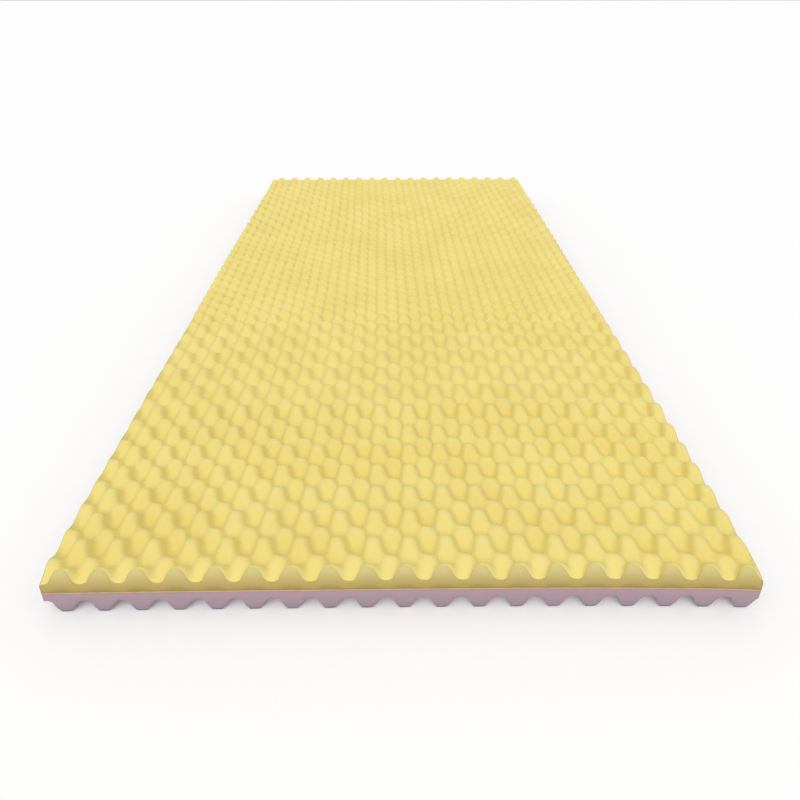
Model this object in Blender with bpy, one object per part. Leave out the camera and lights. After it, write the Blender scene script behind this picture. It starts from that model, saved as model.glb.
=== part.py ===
"""Mattress topper: two sheets of profile-cut foam glued back to back.

The upper sheet has its peaks up, the lower one stands on the tips of its peaks. Both are cut with the same
staggered pattern: columns of peaks run along the length, and the peaks of every second column lie half a row
further on. The spacing of the rows changes in zones along the length.
"""

from collections import namedtuple

import bmesh
import bpy

WIDTH = 1.000
LENGTH = 2.000
JOINT_GAP = 0.0003

# The two sheets, as heights above the floor
JOINT_HEIGHT = 0.0377
TOP_HEIGHT = 0.0850

# The columns of peaks: the first tall column lies this far in from the left edge
COLUMN_PITCH = 0.0529
FIRST_COLUMN = 0.0300
COLUMNS_SHOWN = range(-2, 41)
# The saw drags, so that a valley lies this share of a pitch right of the middle between two peaks
VALLEY_DRAG = 0.08
# A column that runs this close to a side edge is moved onto it
EDGE_SNAP = 0.0020

# Rows of peaks in each zone, from the foot end. odd_drop is how much lower the peaks of the odd columns are,
# ridge is the width of the flat crest of the even columns, valley is the depth below the tallest peaks.
Zone = namedtuple("Zone", "name half_rows half_row odd_drop ridge even_valley odd_valley")
ZONES = (
    Zone("foot end", 12, 0.02670, 0.0068, 0.012, 0.0272, 0.0340),
    Zone("foot blend", 2, 0.03220, 0.0068, 0.013, 0.0272, 0.0340),
    Zone("leg", 10, 0.03355, 0.0068, 0.014, 0.0272, 0.0340),
    Zone("leg blend", 2, 0.02585, 0.0034, 0.000, 0.0290, 0.0320),
    Zone("middle", 26, 0.02030, 0.0000, 0.000, 0.0300, 0.0300),
    Zone("back blend", 2, 0.02345, 0.0000, 0.000, 0.0310, 0.0310),
    Zone("back", 10, 0.03410, 0.0000, 0.000, 0.0320, 0.0320),
    Zone("head blend", 2, 0.03130, 0.0000, 0.000, 0.0320, 0.0320),
    Zone("head end", 8, 0.02745, 0.0000, 0.000, 0.0320, 0.0320),
    Zone("head edge", 1, 0.03030, 0.0000, 0.000, 0.0320, 0.0320),
)

# The columns wander sideways along the length, because the sheet was cut a little off its grain
Drift = namedtuple("Drift", "from_foot sideways")
DRIFTS = (
    Drift(0.00, 0.000),
    Drift(0.20, 0.004),
    Drift(0.44, 0.006),
    Drift(0.67, 0.005),
    Drift(0.86, 0.002),
    Drift(1.15, -0.004),
    Drift(1.48, -0.009),
    Drift(1.62, -0.014),
    Drift(1.76, -0.020),
    Drift(2.00, -0.029),
)

# Each sheet: relief is its share of the upper sheet's depths, tip is the share of the way from a peak to its
# valleys that the flat end of a peak reaches on the even columns
Sheet = namedtuple("Sheet", "name back tips relief odd_relief tip colour")
SHEETS = (
    Sheet("upper_foam_layer", JOINT_HEIGHT + JOINT_GAP / 2, TOP_HEIGHT, 1.00, 1.00, 0.00, (0.80, 0.66, 0.21)),
    Sheet("lower_foam_layer", JOINT_HEIGHT - JOINT_GAP / 2, 0.0, 0.62, 0.50, 0.22, (0.42, 0.28, 0.33)),
)


def sideways(from_foot):
    """How far the columns have wandered at this distance from the foot end, on straight runs."""
    for near, far in zip(DRIFTS, DRIFTS[1:]):
        if from_foot <= far.from_foot:
            share = (from_foot - near.from_foot) / (far.from_foot - near.from_foot)
            return near.sideways + share * (far.sideways - near.sideways)
    return DRIFTS[-1].sideways


def rows_of_sheet():
    """Each row of points as its distance from the foot end and its zone, fitted to the length."""
    rows = [(0.0, ZONES[0])]
    for zone in ZONES:
        for _ in range(zone.half_rows):
            rows.append((rows[-1][0] + zone.half_row, zone))
    fit = LENGTH / rows[-1][0]
    return [(distance * fit, zone) for distance, zone in rows]


def is_peak(column, row):
    return column % 2 == row % 2


def depth_at(column, row, zone, sheet):
    """How far the point at this column and row lies below the sheet's tallest peaks."""
    if is_peak(column, row):
        return 0.0 if column % 2 == 0 else zone.odd_drop * sheet.odd_relief
    return (zone.even_valley if column % 2 == 0 else zone.odd_valley) * sheet.relief


def place_at(column, row, rows, sheet):
    """The point of the sheet's relief at this column and row."""
    from_foot, zone = rows[row]
    drag = 0.0 if is_peak(column, row) else VALLEY_DRAG
    x = -WIDTH / 2 + FIRST_COLUMN + (column / 2 + drag) * COLUMN_PITCH + sideways(from_foot)
    if abs(abs(x) - WIDTH / 2) < EDGE_SNAP:
        x = WIDTH / 2 if x > 0 else -WIDTH / 2
    depth = depth_at(column, row, zone, sheet)
    z = sheet.tips - depth if sheet.tips > sheet.back else sheet.tips + depth
    return (x, from_foot - LENGTH / 2, z)


def between(start, end, share):
    """The point this share of the way to the end, at the start's height."""
    return (
        start[0] + share * (end[0] - start[0]),
        start[1] + share * (end[1] - start[1]),
        start[2],
    )


def crest_of(column, row, rows, sheet):
    """The points of one peak's crest, keyed by the side they lie on: one point, a ridge or a flat end."""
    peak = place_at(column, row, rows, sheet)
    sides = {"left": (-1, 0), "right": (1, 0), "near": (0, -1), "far": (0, 1)}
    if column % 2 == 1:
        return dict.fromkeys(sides, peak)
    if sheet.tip:
        crest = {}
        for side, (across, along) in sides.items():
            if 0 <= row + along < len(rows):
                crest[side] = between(peak, place_at(column + across, row + along, rows, sheet), sheet.tip)
            else:
                crest[side] = peak
        return crest
    half = rows[row][1].ridge / 2
    left = (peak[0] - half, peak[1], peak[2])
    right = (peak[0] + half, peak[1], peak[2])
    return {"left": left, "right": right, "near": None, "far": None} if half else dict.fromkeys(sides, peak)


def relief_mesh(sheet, rows):
    """The sheet's relief as an open surface: each peak falls straight to the four valleys round it."""
    mesh = bmesh.new()
    corners = {}

    def corner(point):
        key = tuple(round(value, 7) for value in point)
        if key not in corners:
            corners[key] = mesh.verts.new(point)
        return corners[key]

    def face(points):
        ring = []
        for point in map(corner, points):
            if point not in ring:
                ring.append(point)
        if len(ring) > 2:
            mesh.faces.new(ring)

    for column in COLUMNS_SHOWN:
        for row in range(len(rows)):
            if not is_peak(column, row):
                continue
            crest = crest_of(column, row, rows, sheet)
            for across, side in ((-1, "left"), (1, "right")):
                for along, end in ((-1, "near"), (1, "far")):
                    if not 0 <= row + along < len(rows):
                        continue
                    beside = place_at(column + across, row, rows, sheet)
                    ahead = place_at(column, row + along, rows, sheet)
                    face([crest[side], beside, ahead] + ([crest[end]] if crest[end] else []))
            if crest["near"] is None:
                for along in (-1, 1):
                    if 0 <= row + along < len(rows):
                        ahead = place_at(column, row + along, rows, sheet)
                        face([crest["left"], ahead, crest["right"]])
            elif len(set(crest.values())) > 2:
                face([crest["left"], crest["near"], crest["right"], crest["far"]])
    return mesh


def build_sheet(sheet, rows):
    """The sheet as one closed solid: its relief trimmed at the side edges, four cut walls and a flat back."""
    mesh = relief_mesh(sheet, rows)
    for side in (-1, 1):
        bmesh.ops.bisect_plane(
            mesh,
            geom=mesh.verts[:] + mesh.edges[:] + mesh.faces[:],
            dist=1e-6,
            plane_co=(side * WIDTH / 2, 0, 0),
            plane_no=(side, 0, 0),
            clear_outer=True,
        )
    mesh.verts.ensure_lookup_table()
    backs = {}
    for across, along in ((-1, -1), (1, -1), (1, 1), (-1, 1)):
        backs[across, along] = mesh.verts.new((across * WIDTH / 2, along * LENGTH / 2, sheet.back))
    for axis, side in ((0, -1), (0, 1), (1, -1), (1, 1)):
        reach = side * (WIDTH if axis == 0 else LENGTH) / 2
        edge = [
            vert
            for vert in mesh.verts
            if vert.is_boundary and abs(vert.co[axis] - reach) < 1e-5 and vert not in backs.values()
        ]
        for vert in edge:
            vert.co[axis] = reach
        edge.sort(key=lambda vert: vert.co[1 - axis])
        ends = [backs[(side, end) if axis == 0 else (end, side)] for end in (1, -1)]
        mesh.faces.new(edge + ends)
    mesh.faces.new(list(backs.values()))
    bmesh.ops.recalc_face_normals(mesh, faces=mesh.faces[:])
    data = bpy.data.meshes.new(sheet.name)
    mesh.to_mesh(data)
    mesh.free()
    item = bpy.data.objects.new(sheet.name, data)
    bpy.context.collection.objects.link(item)
    foam = bpy.data.materials.new(sheet.name + "_foam")
    foam.use_nodes = True
    shader = foam.node_tree.nodes["Principled BSDF"]
    shader.inputs["Base Color"].default_value = (*sheet.colour, 1.0)
    shader.inputs["Roughness"].default_value = 0.9
    shader.inputs["Metallic"].default_value = 0.0
    foam.diffuse_color = (*sheet.colour, 1.0)
    data.materials.append(foam)
    return item


def main():
    for item in list(bpy.data.objects):
        bpy.data.objects.remove(item, do_unlink=True)
    rows = rows_of_sheet()
    for sheet in SHEETS:
        build_sheet(sheet, rows)


main()
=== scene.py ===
"""Mattress topper: two sheets of profile-cut foam glued back to back, lying flat on a pale floor.

The upper sheet is yellow with its peaks up, the lower one mauve with its peaks down, and a thin film of glue
shows between them on the cut edge. Each sheet is one closed surface worked out on a grid.
"""

from collections import namedtuple

import bpy
import numpy as np
from mathutils import Euler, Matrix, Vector


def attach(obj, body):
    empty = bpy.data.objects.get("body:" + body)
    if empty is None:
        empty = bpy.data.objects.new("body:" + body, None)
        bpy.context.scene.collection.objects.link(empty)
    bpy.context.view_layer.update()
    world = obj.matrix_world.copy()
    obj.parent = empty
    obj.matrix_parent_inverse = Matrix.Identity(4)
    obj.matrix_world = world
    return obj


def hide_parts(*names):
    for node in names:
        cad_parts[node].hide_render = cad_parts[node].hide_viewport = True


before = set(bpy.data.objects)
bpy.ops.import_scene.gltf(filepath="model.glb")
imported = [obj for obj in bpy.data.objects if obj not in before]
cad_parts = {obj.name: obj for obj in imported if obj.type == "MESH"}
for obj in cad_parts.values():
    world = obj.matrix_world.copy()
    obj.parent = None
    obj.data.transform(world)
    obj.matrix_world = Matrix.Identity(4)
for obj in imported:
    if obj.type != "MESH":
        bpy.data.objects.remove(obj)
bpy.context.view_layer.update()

# Sizes in metres, the same as the solids
WIDTH = 1.000
LENGTH = 2.000
JOINT_HEIGHT = 0.0377
TOP_HEIGHT = 0.0850
COLUMN_PITCH = 0.0529
FIRST_COLUMN = 0.0300
# Half the height of the glue between the sheets
GLUE_HALF = 0.0011

# Grid lines to a pitch of the columns, and to half a row
LINES_ACROSS = 11
LINES_ALONG = 6

# The relief is a set of bands along the length, each half a pitch wide. Even and odd bands take turns, and each
# rises and falls along its length, the odd ones half a period later. A band's numbers are millimetres, measured
# up from the tallest peaks: its middle height, how far it swings, how far its crest slants across it (in
# periods), how much it tilts and how much its sides droop, and a second, shorter swing that flattens the peaks.
Band = namedtuple("Band", "middle swing slant tilt droop double")
# step is how abruptly one band gives way to the next, skew makes the step on the left steeper, lean moves the
# peaks' tops back
Zone = namedtuple("Zone", "name half_rows half_row step skew lean even odd")
FOOT = (1.97, 0.22, 0.0, Band(-11.0, 11.2, -0.11, -0.4, 4.4, -0.7), Band(-19.0, 10.0, -0.28, -0.9, -1.7, 1.0))
LEG = (1.40, 0.10, 0.2, Band(-10.0, 9.8, -0.08, -5.0, 4.2, -2.3), Band(-18.0, 8.4, -0.11, -6.0, 0.8, 2.2))
MIDDLE = (1.53, 0.03, 1.1, Band(-11.0, 8.8, -0.16, -6.0, 2.9, 0.4), Band(-11.8, 8.8, -0.27, -7.0, 1.8, 0.3))
BACK = (1.80, -0.10, 0.0, Band(-10.4, 7.9, -0.11, 0.7, 1.2, 0.9), Band(-11.4, 8.3, -0.29, 2.1, 3.4, 1.0))
ZONES = (
    Zone("foot end", 12, 0.02670, *FOOT),
    Zone("foot blend", 2, 0.03220, *FOOT),
    Zone("leg", 10, 0.03355, *LEG),
    Zone("leg blend", 2, 0.02585, *LEG),
    Zone("middle", 26, 0.02030, *MIDDLE),
    Zone("back blend", 2, 0.02345, *BACK),
    Zone("back", 10, 0.03410, *BACK),
    Zone("head blend", 2, 0.03130, *BACK),
    Zone("head end", 8, 0.02745, *BACK),
    Zone("head edge", 1, 0.03030, *BACK),
)
# The middle of the even bands lies this share of a pitch right of the even columns' tips at the cut
BAND_MIDDLE = 0.09
# Beyond the cut, the peaks lie this share of a period nearer to the foot than their rows
LEAD = 0.04
# The valleys open by this much, in millimetres, at the cut
CUT_OPENS = 3.0
# At the cut the bands lie this share of a pitch further left, because the saw dragged the foam
CUT_DRAG = 0.13
# The foam settles outwards: at the side edges, a point this far below the tips lies SPREAD times as far out,
# down to the valleys' depth
SPREAD = 0.25
VALLEY_DEPTH = 0.034

# The columns wander sideways along the length
DRIFT_AT = np.array([0.00, 0.20, 0.44, 0.67, 0.86, 1.15, 1.48, 1.62, 1.76, 2.00])
DRIFT_BY = np.array([0.0, 4.0, 6.0, 5.0, 2.0, -4.0, -9.0, -14.0, -20.0, -29.0]) / 1000


def row_table():
    """The distance of every row from the foot end, fitted to the length, and every number of its zone."""
    steps = np.concatenate([np.full(zone.half_rows, zone.half_row) for zone in ZONES])
    at = np.concatenate([[0.0], np.cumsum(steps)])
    numbers = [(zone.step, zone.skew, zone.lean, *zone.even, *zone.odd) for zone in ZONES]
    held = np.repeat(np.array(numbers), [zone.half_rows for zone in ZONES], axis=0)
    return at * LENGTH / at[-1], np.concatenate([held[:1], held])


ROW_AT, ROW_NUMBERS = row_table()


def ripple(x, y, scale, seed, waves=7):
    """Smooth unevenness from -1 to 1: a sum of sine waves of about this length in random directions."""
    rng = np.random.default_rng(seed)
    total = np.zeros(np.broadcast(x, y).shape)
    for _ in range(waves):
        turn = rng.uniform(0, 2 * np.pi)
        length = scale * rng.uniform(0.7, 1.5)
        start = rng.uniform(0, 2 * np.pi)
        total += np.sin((x * np.cos(turn) + y * np.sin(turn)) * 2 * np.pi / length + start)
    return total / waves * 1.6


def soft_cap(value, cap, soften):
    """The lower of value and cap, with the corner between them rounded by soften."""
    return (value + cap - np.sqrt((value - cap) ** 2 + soften**2)) / 2


def band_height(band, lean, period, across, side):
    """A band's height: middle + tilt * across - droop * side + swing * cos(t) + double * cos(2t) + lean *
    sin(2t), where t is the turn along the length, moved by slant * across."""
    middle, swing, slant, tilt, droop, double = band
    turn = 2 * np.pi * (period - slant * across)
    height = middle + tilt * across - droop * side + swing * np.cos(turn)
    return height + double * np.cos(2 * turn) + lean * np.sin(2 * turn)


def relief(x, from_foot, sheet):
    """Height in millimetres from the sheet's tips, always below zero: even and odd bands mixed by a share that
    steps between 0 and 1 as tanh(step * cos) does, then capped softly at zero."""
    phase = np.interp(from_foot, ROW_AT, np.arange(len(ROW_AT))) / 2
    numbers = [np.interp(from_foot, ROW_AT, column) for column in ROW_NUMBERS.T]
    step, skew, lean = numbers[:3]
    drift = np.interp(from_foot, DRIFT_AT, DRIFT_BY)
    sway = sheet.sway * ripple(x, from_foot, 0.16, sheet.seed) / 1000
    pitches = (x + WIDTH / 2 - FIRST_COLUMN - drift - sway) / COLUMN_PITCH
    period = phase + LEAD * np.clip(phase * 2, 0, 1) + 0.02 * ripple(x, from_foot, 0.2, sheet.seed + 2)
    cut = np.exp(-from_foot / 0.008)
    angle = 2 * np.pi * (pitches - BAND_MIDDLE + CUT_DRAG * cut)
    across, side = np.sin(angle) / (2 * np.pi), (1 - np.cos(angle)) / 2
    share = 0.5 + 0.5 * np.tanh(step * np.cos(angle + skew * np.cos(angle)))
    even = band_height(numbers[3:9], lean, period, across, side)
    odd = band_height(numbers[9:15], lean, period - 0.5, -across, 1 - side)
    odd = odd - CUT_OPENS * cut
    height = share * even + (1 - share) * odd
    height = height * (1 + 0.03 * ripple(x, from_foot, 0.11, sheet.seed + 1))
    return soft_cap(height * sheet.relief + sheet.lift, 0.0, sheet.soften)


# back is the height of the flat back, relief the share of the bands' depths, lift raises the relief by this many
# millimetres before it is cut flat at the tips, soften rounds that cut
Sheet = namedtuple("Sheet", "name tips back relief lift soften sway seed")
UPPER = Sheet("yellow_foam_sheet", TOP_HEIGHT, JOINT_HEIGHT + GLUE_HALF, 1.00, 0.0, 1.5, 0.8, 3)
LOWER = Sheet("mauve_foam_sheet", 0.0, JOINT_HEIGHT - GLUE_HALF, 0.78, 2.4, 0.3, 0.8, 8)


def lines_across():
    """Grid lines across the width: one on each edge, the rest in step with the columns."""
    step = COLUMN_PITCH / LINES_ACROSS
    first = -WIDTH / 2 + FIRST_COLUMN % step
    inner = np.arange(first, WIDTH / 2, step)
    inner = inner[(inner > -WIDTH / 2 + 0.4 * step) & (inner < WIDTH / 2 - 0.4 * step)]
    return np.concatenate([[-WIDTH / 2], inner, [WIDTH / 2]])


def lines_along():
    """Grid lines along the length, as distances from the foot end, in step with the rows."""
    rows = np.arange(len(ROW_AT))
    return np.interp(np.arange(rows[-1] * LINES_ALONG + 1) / LINES_ALONG, rows, ROW_AT)


def build_sheet(sheet):
    """One closed sheet: the relief on a grid whose inner lines follow the columns' drift, four cut walls of
    rings that run down from the relief's border to the flat back, and the back as one face."""
    across, along = lines_across(), lines_along()
    x, y = np.meshgrid(across, along)
    inward = np.clip((WIDTH / 2 - np.abs(x)) / 0.06, 0, 1)
    x = x + np.interp(y, DRIFT_AT, DRIFT_BY) * inward**2 * (3 - 2 * inward)
    up = 1 if sheet.tips > sheet.back else -1
    z = sheet.tips + up * relief(x, y, sheet) / 1000
    rows, columns = x.shape
    grid = np.arange(rows * columns).reshape(rows, columns)
    points = np.stack([x, y - LENGTH / 2, z], axis=-1).reshape(-1, 3)
    faces = np.stack([grid[:-1, :-1], grid[:-1, 1:], grid[1:, 1:], grid[1:, :-1]], axis=-1).reshape(-1, 4)
    border = np.concatenate([grid[0, :-1], grid[:-1, -1], grid[-1, :0:-1], grid[:0:-1, 0]])
    rim = points[border]
    outward = np.zeros_like(rim)
    outward[:, 0] = np.where(np.abs(rim[:, 0]) > WIDTH / 2 - 1e-6, np.sign(rim[:, 0]), 0)
    outward[:, 1] = np.where(np.abs(rim[:, 1]) > LENGTH / 2 - 1e-6, np.sign(rim[:, 1]), 0)
    points[border] -= outward * 0.0012
    levels = [(0.0012, 0.0), (0.0, 0.35), (0.0, 0.7), (0.0, 1.0)]
    rings = [border]
    for drop, share in levels:
        ring = rim.copy()
        start = rim[:, 2] - up * 0.0012
        ring[:, 2] = start + (sheet.back - start) * share
        rings.append(len(points) + np.arange(len(ring)))
        points = np.concatenate([points, ring])
    walls = []
    for upper, lower in zip(rings, rings[1:]):
        walls.append(np.stack([upper, lower, np.roll(lower, -1), np.roll(upper, -1)], axis=-1))
    faces = np.concatenate([faces] + walls)
    if up < 0:
        faces = faces[:, ::-1]
    back = rings[-1][::-1] if up > 0 else rings[-1]
    return settle(points), faces, back, len(grid[:-1, :-1].ravel())


def settle(points):
    """The sheet as it really lies: its ends bow a little towards the foot, its near right corner sags and
    spreads, and the whole surface is slightly wavy above the floor."""
    x, y, z = points.T.copy()
    side, near = x / (WIDTH / 2), np.clip(-y / (LENGTH / 2), 0, 1)
    height = z / TOP_HEIGHT
    x = x + side * SPREAD * np.clip(TOP_HEIGHT - z, 0, VALLEY_DEPTH)
    corner = np.clip((side - 0.86) / 0.14, 0, 1) * np.clip((near - 0.93) / 0.07, 0, 1)
    y = y - near**6 * (0.002 * side**2 + 0.004 * np.clip(side, 0, 1) ** 4)
    x = x + corner**2 * 0.001
    z = z - corner**2 * 0.003 * height
    z = z + 0.0012 * ripple(x, y, 0.55, 21) * height
    return np.stack([x, y, z], axis=-1)


def mesh_of(name, points, quads, back=None):
    """A mesh object at the origin from a point array and an array of quads, with one more face for the back."""
    mesh = bpy.data.meshes.new(name)
    corners = quads.ravel() if back is None else np.concatenate([quads.ravel(), back])
    starts = np.arange(0, quads.size, 4)
    if back is not None:
        starts = np.append(starts, quads.size)
    mesh.vertices.add(len(points))
    mesh.vertices.foreach_set("co", points.astype(np.float32).ravel())
    mesh.loops.add(len(corners))
    mesh.loops.foreach_set("vertex_index", corners.astype(np.int32))
    mesh.polygons.add(len(starts))
    mesh.polygons.foreach_set("loop_start", starts.astype(np.int32))
    mesh.update(calc_edges=True)
    mesh.validate()
    item = bpy.data.objects.new(name, mesh)
    bpy.context.collection.objects.link(item)
    return item


def make_sheet(sheet):
    points, quads, back, relief_faces = build_sheet(sheet)
    item = mesh_of(sheet.name, points, quads, back)
    item.data.polygons.foreach_set("use_smooth", np.ones(len(item.data.polygons), bool))
    return item, relief_faces


yellow, yellow_relief = make_sheet(UPPER)
mauve, mauve_relief = make_sheet(LOWER)


def glue_film():
    """The film of glue between the sheets: a thin band round the joint, a four-cornered profile carried along
    the outline, a hair proud of the cut faces."""
    half_x, half_y = WIDTH / 2 + 0.0002, LENGTH / 2 + 0.0002
    run = 240
    edge = np.linspace(-1, 1, run, endpoint=False)
    outline = np.concatenate(
        [
            np.stack([edge * half_x, np.full(run, -half_y)], axis=-1),
            np.stack([np.full(run, half_x), edge * half_y], axis=-1),
            np.stack([-edge * half_x, np.full(run, half_y)], axis=-1),
            np.stack([np.full(run, -half_x), -edge * half_y], axis=-1),
        ]
    )
    inset = np.array([0.0, 0.0, 0.004, 0.004])
    rise = np.array([-1, 1, 1, -1]) * (GLUE_HALF - 0.0001)
    scale = 1 - inset[:, None, None] / np.array([half_x, half_y])
    flat = outline[None] * scale
    z = JOINT_HEIGHT + rise[:, None] + 0.0 * flat[..., 0]
    points = np.concatenate([flat, z[..., None]], axis=-1)
    ring = np.arange(len(outline))
    quads = []
    for level in range(4):
        lower, upper = ring + level * len(ring), ring + (level + 1) % 4 * len(ring)
        quads.append(np.stack([lower, np.roll(lower, -1), np.roll(upper, -1), upper], axis=-1))
    return mesh_of("glue_film", settle(points.reshape(-1, 3)), np.concatenate(quads))


film = glue_film()


class Value:
    """A shader socket that takes part in sums: each operator adds its Math node."""

    def __init__(self, tree, socket):
        self.tree = tree
        self.socket = socket

    def math(self, operation, *others, clamp=False):
        node = self.tree.nodes.new("ShaderNodeMath")
        node.operation = operation
        node.use_clamp = clamp
        for slot, value in zip(node.inputs, (self, *others)):
            connect(self.tree, slot, value)
        return Value(self.tree, node.outputs[0])

    def __add__(self, other):
        return self.math("ADD", other)

    def __sub__(self, other):
        return self.math("SUBTRACT", other)

    def __mul__(self, other):
        return self.math("MULTIPLY", other)

    def __truediv__(self, other):
        return self.math("DIVIDE", other)

    __radd__ = __add__
    __rmul__ = __mul__

    def __rsub__(self, other):
        return (self * -1) + other


def connect(tree, slot, value):
    """Links a value's socket to the slot, or sets the slot to a plain number or colour."""
    if isinstance(value, Value):
        tree.links.new(value.socket, slot)
    else:
        slot.default_value = value


class Finish:
    """A material under construction: its node tree, its shader, and short ways to add nodes."""

    def __init__(self, name, roughness):
        self.material = bpy.data.materials.new(name)
        self.material.use_nodes = True
        self.tree = self.material.node_tree
        self.shader = self.tree.nodes["Principled BSDF"]
        self.shader.inputs["Roughness"].default_value = roughness
        self.place = self.node("ShaderNodeTexCoord", {}, {}, "Object")

    def node(self, kind, settings, inputs, output=0):
        """Any other node: its settings first, then its sockets."""
        node = self.tree.nodes.new(kind)
        for name, value in settings.items():
            setattr(node, name, value)
        for name, value in inputs.items():
            connect(self.tree, node.inputs[name], value)
        return Value(self.tree, node.outputs[output])

    def noise(self, scale, detail=2.0, roughness=0.5):
        inputs = {"Vector": self.place, "Scale": scale, "Detail": detail, "Roughness": roughness}
        return self.node("ShaderNodeTexNoise", {}, inputs, "Fac")

    def height(self):
        return self.node("ShaderNodeSeparateXYZ", {}, {"Vector": self.place}, "Z")

    def band(self, value, low, high):
        """0 below low, 1 above high, and a smooth step between."""
        inputs = {"Value": value, "From Min": low, "From Max": high}
        return self.node("ShaderNodeMapRange", {"interpolation_type": "SMOOTHSTEP"}, inputs)

    def mix(self, share, first, second, blend="MIX"):
        """Colours mixed by share: the colour sockets of a Mix node are its inputs 6 and 7."""
        node = self.tree.nodes.new("ShaderNodeMix")
        node.data_type = "RGBA"
        node.blend_type = blend
        connect(self.tree, node.inputs[0], share)
        connect(self.tree, node.inputs[6], first)
        connect(self.tree, node.inputs[7], second)
        return Value(self.tree, node.outputs[2])

    def colour(self, value):
        connect(self.tree, self.shader.inputs["Base Color"], value)

    def bump(self, height, strength, distance):
        inputs = {"Height": height, "Strength": strength, "Distance": distance}
        connect(self.tree, self.shader.inputs["Normal"], self.node("ShaderNodeBump", {}, inputs))


def rgb(red, green, blue):
    """A colour from its screen values of 0 to 255, as linear light."""
    screen = np.array([red, green, blue]) / 255
    light = np.where(screen <= 0.04045, screen / 12.92, ((screen + 0.055) / 1.055) ** 2.4)
    return (*light.tolist(), 1.0)


def foam_grain(finish):
    """Open cells of foam: fine pores about a millimetre across, over a coarser unevenness."""
    return finish.noise(900.0, 3.0, 0.6) * 0.7 + finish.noise(140.0, 3.0, 0.5) * 0.5


def yellow_skin():
    finish = Finish("yellow_foam_skin", 0.95)
    tone = finish.band(finish.noise(9.0, 3.0), 0.35, 0.65)
    colour = finish.mix(tone, rgb(236, 220, 136), rgb(233, 215, 128))
    speck = finish.band(finish.noise(420.0, 2.0), 0.58, 0.72)
    colour = finish.mix(speck * 0.25, colour, rgb(216, 196, 114))
    finish.colour(colour)
    finish.bump(foam_grain(finish), 0.35, 0.0006)
    return finish.material


def yellow_cut_painted_shade():
    finish = Finish("yellow_foam_cut_painted_shade", 0.95)
    # Painted shade: the cut face is coloured darker than the relief skin, and darkest at the joint, for the
    # shade that falls on the upright face
    rise = finish.band(finish.height(), JOINT_HEIGHT, TOP_HEIGHT)
    colour = finish.mix(rise, rgb(178, 155, 85), rgb(213, 198, 130))
    finish.colour(colour)
    finish.bump(foam_grain(finish), 0.45, 0.0008)
    return finish.material


def mauve_skin(name, low, high):
    finish = Finish(name, 0.95)
    tone = finish.band(finish.noise(60.0, 3.0), 0.35, 0.65)
    # Painted shade: the mauve turns greyer towards the floor, from the high colour at the joint to the low
    # colour at the tips
    rise = finish.band(finish.height(), 0.0, JOINT_HEIGHT)
    colour = finish.mix(rise, low, high)
    colour = finish.mix(tone * 0.3, colour, rgb(168, 142, 156))
    # Painted shadow: a dark band where the foam meets the floor, standing in for the contact shadow
    painted_contact_shade = finish.band(finish.height(), 0.0004, 0.0045)
    colour = finish.mix(painted_contact_shade, rgb(112, 104, 108), colour)
    finish.colour(colour)
    finish.bump(foam_grain(finish), 0.45, 0.0008)
    return finish.material


def glue_tan():
    finish = Finish("glue_tan", 0.7)
    tone = finish.band(finish.noise(70.0, 3.0), 0.3, 0.7)
    finish.colour(finish.mix(tone, rgb(196, 168, 126), rgb(208, 180, 132)))
    finish.bump(finish.noise(300.0, 2.0), 0.3, 0.0004)
    return finish.material


def floor_white():
    finish = Finish("floor_white", 0.9)
    finish.colour(finish.mix(finish.noise(0.6, 1.0), (0.90, 0.90, 0.90, 1), (0.92, 0.92, 0.92, 1)))
    finish.shader.inputs["Emission Color"].default_value = (1, 1, 1, 1)
    finish.shader.inputs["Emission Strength"].default_value = 0.09
    return finish.material


def dress(item, materials, relief_faces):
    """Puts the first material on the relief and the second on the walls and the back."""
    for material in materials:
        item.data.materials.append(material)
    which = np.ones(len(item.data.polygons), np.int32)
    which[:relief_faces] = 0
    item.data.polygons.foreach_set("material_index", which)


dress(yellow, (yellow_skin(), yellow_cut_painted_shade()), yellow_relief)
# The first colour is the painted shade of the mauve near the floor, the second its colour at the joint
mauve_side = mauve_skin("mauve_foam_cut", rgb(158, 142, 152), rgb(174, 146, 154))
dress(mauve, (mauve_skin("mauve_foam_skin", rgb(158, 142, 152), rgb(174, 146, 154)), mauve_side), mauve_relief)
film.data.materials.append(glue_tan())

for piece, node, slot in (
    (yellow, "upper_foam_layer", "yellow_foam"),
    (mauve, "lower_foam_layer", "mauve_foam"),
):
    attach(piece, "root")
    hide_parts(node)
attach(film, "root")


def make_floor():
    """A pale floor that reaches far past the view."""
    reach = 30.0
    points = np.array([[-reach, -reach, 0], [reach, -reach, 0], [reach, reach, 0], [-reach, reach, 0]], float)
    points[:, 2] -= 0.0002
    floor = mesh_of("floor", points, np.array([[0, 1, 2, 3]]))
    floor.data.materials.append(floor_white())


make_floor()


def add_sun(name, towards, strength, spread):
    """A soft light from far away in this direction, spread degrees wide."""
    lamp = bpy.data.lights.new(name, "SUN")
    lamp.energy = strength
    lamp.angle = np.radians(spread)
    item = bpy.data.objects.new(name, lamp)
    bpy.context.collection.objects.link(item)
    item.rotation_euler = Vector(towards).to_track_quat("Z", "Y").to_euler()


add_sun("camera_side", (-0.15, -1.0, 1.25), 1.1, 50)
world = bpy.data.worlds.new("studio")
world.use_nodes = True
world.node_tree.nodes["Background"].inputs["Color"].default_value = (1, 1, 1, 1)
world.node_tree.nodes["Background"].inputs["Strength"].default_value = 0.72
bpy.context.scene.world = world

camera_data = bpy.data.cameras.new("camera")
camera_data.sensor_width = 36.0
camera_data.lens = 29.40
camera_data.shift_y = -0.12
camera = bpy.data.objects.new("camera", camera_data)
bpy.context.collection.objects.link(camera)
camera.location = (-0.0099, -1.6508, 0.8122)
camera.rotation_euler = Euler((np.radians(90 - 26.363), np.radians(0.0), np.radians(-0.604)), "XYZ")
bpy.context.scene.camera = camera
bpy.context.scene.view_settings.view_transform = "Standard"
